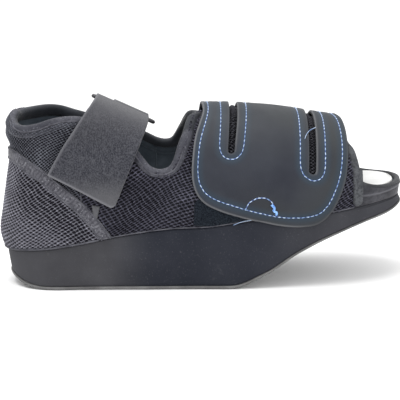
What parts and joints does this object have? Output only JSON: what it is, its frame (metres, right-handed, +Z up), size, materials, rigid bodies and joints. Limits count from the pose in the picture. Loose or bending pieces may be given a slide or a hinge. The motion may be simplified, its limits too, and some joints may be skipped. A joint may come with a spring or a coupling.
{
  "type": "post operative shoe",
  "caption": "Open-toe recovery shoe on a raised wedge sole, with a mesh upper, a wide instep flap and an ankle strap through a ring.",
  "frame": {"origin": "centre of the bounding box, on the floor that the sole stands on", "axes": "+X towards the toe, -Y towards the side where both straps close, +Z up"},
  "size_m": [0.2898, 0.1066, 0.1346],
  "materials": {
    "outsole_rubber": "matte, fine moulded grain",
    "midsole_foam": "matte foam with a fine pebble",
    "insole_cover": "smooth white cover cloth",
    "upper_mesh": "open spacer mesh",
    "lining": "smooth padded lining with a soft sheen",
    "counter_mesh": "coarse mesh",
    "binding_tape": "ribbed tape",
    "flap_leather": "matte buffed imitation leather",
    "strap_felt": "short-pile loop cloth",
    "ring_metal": "dark coated wire"
  },
  "bodies": {
    "root": {"outsole": "outsole_rubber", "midsole": "midsole_foam", "insole": "insole_cover", "upper": "upper_mesh", "collar_lining": "lining", "toe_binding": "lining", "heel_counter": "counter_mesh", "counter_binding": "binding_tape", "instep_flap": "flap_leather", "ankle_strap": "strap_felt", "strap_ring": "ring_metal", "ring_tab": "strap_felt"}
  },
  "joints": []
}
